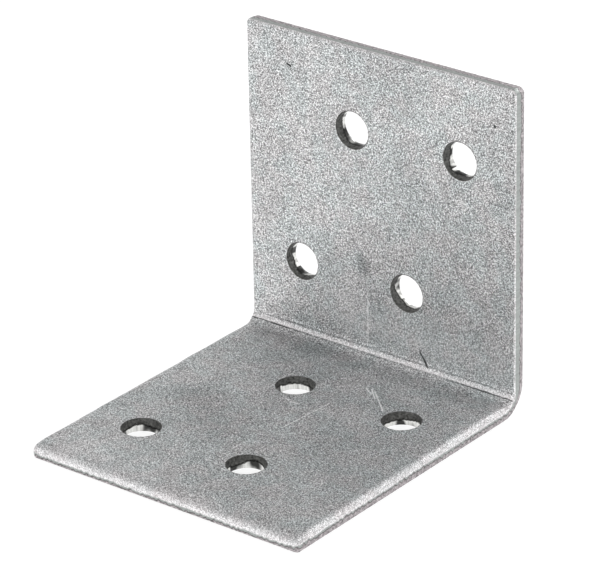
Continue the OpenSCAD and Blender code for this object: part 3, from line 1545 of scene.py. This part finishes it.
@dataclass
class Bracket:
    """The folded bracket, from its blank to the finished piece."""

    strip: Strip
    blank: Blank
    steel: GalvanisedSteel = field(default_factory=GalvanisedSteel)
    name: str = "angle_bracket"

    @classmethod
    def from_frame(cls) -> "Bracket":
        """Takes the bracket's sizes from the frame: its box and its hole mounts.

        Returns:
            The bracket.
        """
        low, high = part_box("bracket")
        strip = Strip(*(round(size / MM, 3) for size in (high.x - low.x, high.z, -low.y)))
        rows = [mount for mount in frame["record"]["mounts"] if mount["kind"] == "bolt_pattern"]
        places = [place for row in rows for place in cls.row_places(row)]
        holes = [Hole(x, cls.developed(strip, y, z), seed) for seed, (x, y, z) in enumerate(places, start=11)]
        return cls(strip, Blank(strip, holes, Punch(rows[0]["dims"]["hole_r_mm"])))

    @staticmethod
    def row_places(row: dict) -> list[tuple[float, float, float]]:
        """Spreads a row's holes evenly about its mount.

        Args:
            row: The mount, as the record holds it.

        Returns:
            The holes' places in millimetres.
        """
        x, y, z = (round(value / MM, 3) for value in row["pos_m"])
        count, spacing = row["dims"]["count"], row["dims"]["spacing_x_mm"]
        return [(x + spacing * (number - (count - 1) / 2), y, z) for number in range(count)]

    @staticmethod
    def developed(strip: Strip, y: float, z: float) -> float:
        """Finds a place of one of the legs on the flat strip.

        Args:
            strip: The strip.
            y: The place's y in millimetres.
            z: Its height in millimetres.

        Returns:
            The place along the strip.
        """
        if z > strip.fold_outer_r:
            return z - strip.fold_outer_r
        return -strip.fold_length - (-y - strip.fold_outer_r)

    def mesh(self) -> bpy.types.Mesh:
        """Folds the skin and makes it a mesh.

        Points of neighbouring patches that share a place become one. Each
        face corner keeps its own place round the cut edge, so the edge map
        has no fold where a loop closes.

        Returns:
            The mesh, in metres, with its attributes and its edge map.
        """
        skin = self.blank.skin()
        keys = np.round(skin.points / self.blank.fineness.weld).astype(np.int64)
        kept, shared = np.unique(keys, axis=0, return_index=True, return_inverse=True)[1:]
        shared = shared.ravel()
        points = self.strip.folded(self.strip.pressed(skin.points[kept])) * MM

        corners = np.concatenate([skin.quads.ravel(), skin.tris.ravel()])
        sizes = np.concatenate([np.full(len(skin.quads), 4), np.full(len(skin.tris), 3)])
        mesh = bpy.data.meshes.new(self.name)
        mesh.vertices.add(len(points))
        mesh.vertices.foreach_set("co", points.astype(np.float32).ravel())
        mesh.loops.add(len(corners))
        mesh.loops.foreach_set("vertex_index", shared[corners].astype(np.int32))
        mesh.polygons.add(len(sizes))
        mesh.polygons.foreach_set("loop_start", (np.cumsum(sizes) - sizes).astype(np.int32))
        mesh.update(calc_edges=True)
        mesh.shade_smooth()

        for name in MARK_NAMES[1:]:
            values = skin.marks[name][kept].astype(np.float32)
            mesh.attributes.new(name, "FLOAT", "POINT").data.foreach_set("value", values)
        edge_map = np.column_stack([skin.marks["along"], skin.points[:, 2]])[corners]
        mesh.uv_layers.new(name=EDGE_MAP).data.foreach_set("uv", edge_map.astype(np.float32).ravel())
        return mesh

    def build(self) -> bpy.types.Object:
        """Makes the finished piece and puts it on the frame.

        Returns:
            The piece.
        """
        mesh = self.mesh()
        mesh.materials.append(self.steel.material(self.strip.thickness))
        piece = bpy.data.objects.new(self.name, mesh)
        bpy.context.scene.collection.objects.link(piece)
        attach(piece, "root")
        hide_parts("bracket")
        LOG.info("%s: %d faces, %d holes", self.name, len(mesh.polygons), len(self.blank.holes))
        return piece


# --------------------------------------------------------------------------
# The studio
# --------------------------------------------------------------------------


@dataclass(frozen=True)
class Lamp:
    """A softbox that faces the bracket.

    Attributes:
        name: What it is called.
        azimuth: Where it stands round the bracket, in degrees; 0 is in front.
        elevation: How high it stands, in degrees.
        distance: How far off it is, in metres.
        size: Width and height in metres.
        power: Its light in watts.
    """

    name: str
    azimuth: float
    elevation: float
    distance: float
    size: tuple[float, float]
    power: float


def direction(azimuth: float, elevation: float) -> Vector:
    """Unit vector towards a place round the bracket, with angles in degrees and 0 in front."""
    a, e = math.radians(azimuth), math.radians(elevation)
    return Vector((math.sin(a) * math.cos(e), -math.cos(a) * math.cos(e), math.sin(e)))


def facing_turn(towards: Vector) -> Matrix:
    """The turn of a lamp or camera that stands in a direction and looks back at the bracket."""
    return towards.to_track_quat("Z", "Y").to_matrix().to_4x4()


@dataclass
class Studio:
    """A pale light table in a white tent, with three soft lamps.

    Attributes:
        floor_size: Side of the floor, in metres.
        floor_drop: How far the floor lies under the bracket, in metres.
        floor_grey: How much of the light the floor throws back.
        floor_glow: Its own light.
        wall: Light of the tent at the floor and below it.
        horizon: Its light a little higher.
        ceiling: Its light overhead.
        wall_to_horizon: Heights between which the first gives way to the second.
        horizon_to_ceiling: Heights between which the second gives way to the third.
        lamps: The lamps.
    """

    floor_size: float = 6.0
    floor_drop: float = 0.00002
    floor_grey: float = 0.3
    floor_glow: float = 0.82
    wall: float = 1.04
    horizon: float = 0.78
    ceiling: float = 0.6
    wall_to_horizon: tuple[float, float] = (0.03, 0.2)
    horizon_to_ceiling: tuple[float, float] = (0.3, 0.95)
    lamps: tuple[Lamp, ...] = (
        Lamp("side", 150, 32, 0.8, (0.5, 0.4), 0.4),
        Lamp("rear", 180, 25, 0.8, (0.5, 0.4), 1.6),
        Lamp("front", 0, 20, 0.8, (0.5, 0.4), 0.8),
    )

    def build(self) -> None:
        """Makes the tent, the floor and the lamps."""
        scene = bpy.context.scene
        world = bpy.data.worlds.new("tent")
        world.use_nodes = True
        bench = Bench(world.node_tree)
        facing = bench.node("ShaderNodeTexCoord").outputs["Generated"]
        height = bench.vector("DOT_PRODUCT", facing, (0, 0, 1))
        background = world.node_tree.nodes["Background"]
        background.inputs["Color"].default_value = (1, 1, 1, 1)
        low = bench.band(height, *self.wall_to_horizon, self.wall, self.horizon)
        strength = bench.band(height, *self.horizon_to_ceiling, low, self.ceiling)
        bench.feed(background.inputs["Strength"], strength)
        scene.world = world
        scene.view_settings.view_transform = "Standard"
        self.lay_floor()
        for lamp in self.lamps:
            self.hang(lamp)

    def lay_floor(self) -> None:
        """Lays the floor, a pale table that is lit from below and is clear from underneath.

        It lies a hair under the bracket, so the two never share a plane.
        """
        half = self.floor_size / 2
        square = ((-half, -half), (half, -half), (half, half), (-half, half))
        corners = [(x, y, -self.floor_drop) for x, y in square]
        mesh = bpy.data.meshes.new("floor")
        mesh.from_pydata(corners, [], [(0, 1, 2, 3)])
        material = bpy.data.materials.new("floor_paper")
        material.use_nodes = True
        shader = material.node_tree.nodes["Principled BSDF"]
        shader.inputs["Base Color"].default_value = (*[self.floor_grey] * 3, 1)
        shader.inputs["Roughness"].default_value = 0.9
        shader.inputs["Emission Color"].default_value = (1, 1, 1, 1)
        shader.inputs["Emission Strength"].default_value = self.floor_glow
        bench = Bench(material.node_tree)
        underneath = bench.node("ShaderNodeNewGeometry").outputs["Backfacing"]
        bench.feed(shader.inputs["Alpha"], bench.math("SUBTRACT", 1.0, underneath))
        mesh.materials.append(material)
        floor = bpy.data.objects.new("floor", mesh)
        bpy.context.scene.collection.objects.link(floor)

    def hang(self, lamp: Lamp) -> None:
        """Hangs one softbox, turned towards the bracket.

        Args:
            lamp: The softbox.
        """
        light = bpy.data.lights.new(lamp.name, "AREA")
        light.shape = "RECTANGLE"
        light.size, light.size_y = lamp.size
        light.energy = lamp.power
        stand = bpy.data.objects.new(lamp.name, light)
        towards = direction(lamp.azimuth, lamp.elevation)
        stand.matrix_world = Matrix.Translation(towards * lamp.distance) @ facing_turn(towards)
        bpy.context.scene.collection.objects.link(stand)


@dataclass(frozen=True)
class Viewpoint:
    """The camera: a long lens, to the right of the bracket and above it.

    Attributes:
        azimuth: Where it stands round the bracket, in degrees; 0 is in front.
        elevation: How high it stands, in degrees.
        roll: How far it is turned about its own line of sight, in degrees.
        distance: How far it is from the place it aims at, in metres.
        lens: Focal length in millimetres.
        sensor: Width of the sensor in millimetres.
        nearest: Distance from where it sees, in metres.
        aim: The place it aims at, in metres.
    """

    azimuth: float = 38.5
    elevation: float = 25.36
    roll: float = -1.15
    distance: float = 0.47935
    lens: float = 243.7
    sensor: float = 36.0
    nearest: float = 0.01
    aim: tuple[float, float, float] = (0.00039, -0.01796, 0.01755)

    def build(self) -> None:
        """Sets up the scene's camera."""
        lens = bpy.data.cameras.new("camera")
        lens.lens = self.lens
        lens.sensor_width = self.sensor
        lens.clip_start = self.nearest
        towards = direction(self.azimuth, self.elevation)
        stand = Matrix.Translation(Vector(self.aim) + towards * self.distance)
        roll = Matrix.Rotation(math.radians(self.roll), 4, "Z")
        camera = bpy.data.objects.new("camera", lens)
        camera.matrix_world = stand @ facing_turn(towards) @ roll
        bpy.context.scene.collection.objects.link(camera)
        bpy.context.scene.camera = camera


def main() -> None:
    """Builds the bracket and the studio."""
    logging.basicConfig(level=logging.INFO, format="%(name)s %(message)s")
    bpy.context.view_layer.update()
    Bracket.from_frame().build()
    Studio().build()
    Viewpoint().build()


if __name__ == "__main__":
    main()
